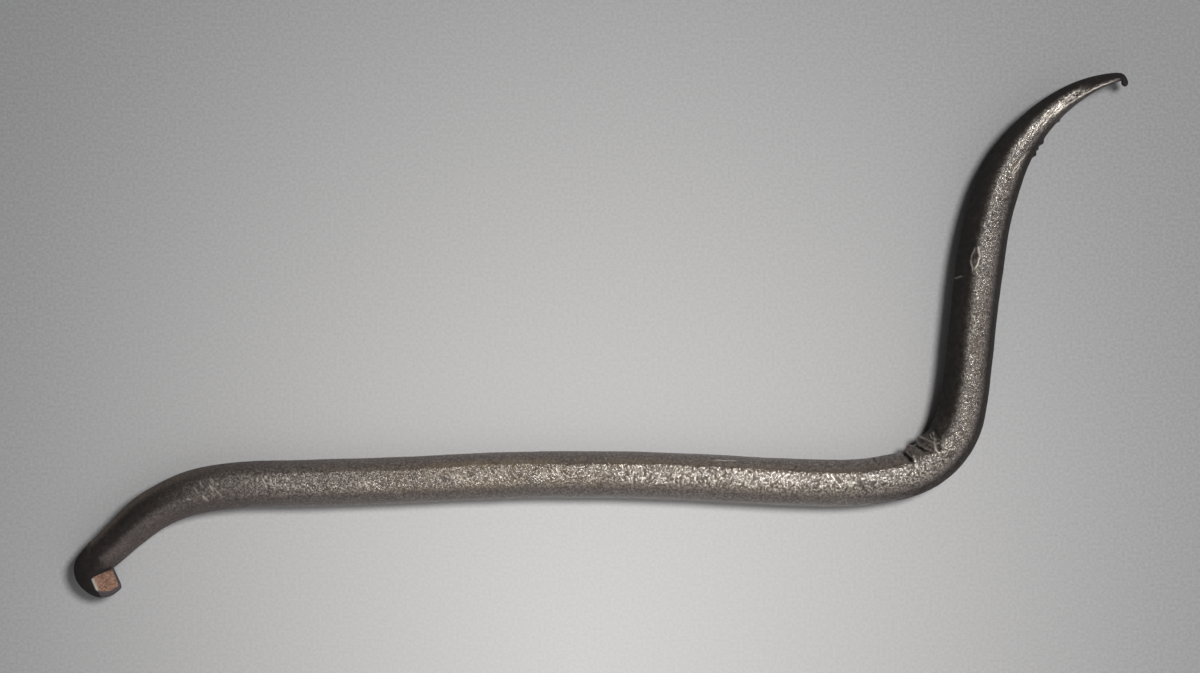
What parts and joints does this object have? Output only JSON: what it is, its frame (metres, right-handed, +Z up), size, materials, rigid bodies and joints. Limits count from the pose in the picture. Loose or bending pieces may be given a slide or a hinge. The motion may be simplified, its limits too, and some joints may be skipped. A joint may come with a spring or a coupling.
{
  "type": "hive tool",
  "caption": "Hand-forged round-bar hive tool with a curled heel, a long arched handle, a tight elbow and a tapering claw.",
  "frame": {"origin": "middle of the tool's outline as it lies on its side, on the surface it lies on", "axes": "+X along the handle from the curled heel to the elbow, +Y from the handle towards the claw's point, +Z up, square to the plane that the bar is bent in"},
  "size_m": [0.287, 0.1432, 0.0136],
  "materials": {
    "forged_steel": "hammered, dark brown-black patina, satin"
  },
  "bodies": {
    "root": {"toe": "forged_steel", "heel": "forged_steel", "neck": "forged_steel", "neck_bend": "forged_steel", "shank": "forged_steel", "elbow": "forged_steel", "arm": "forged_steel", "claw": "forged_steel", "point": "forged_steel"}
  },
  "joints": []
}
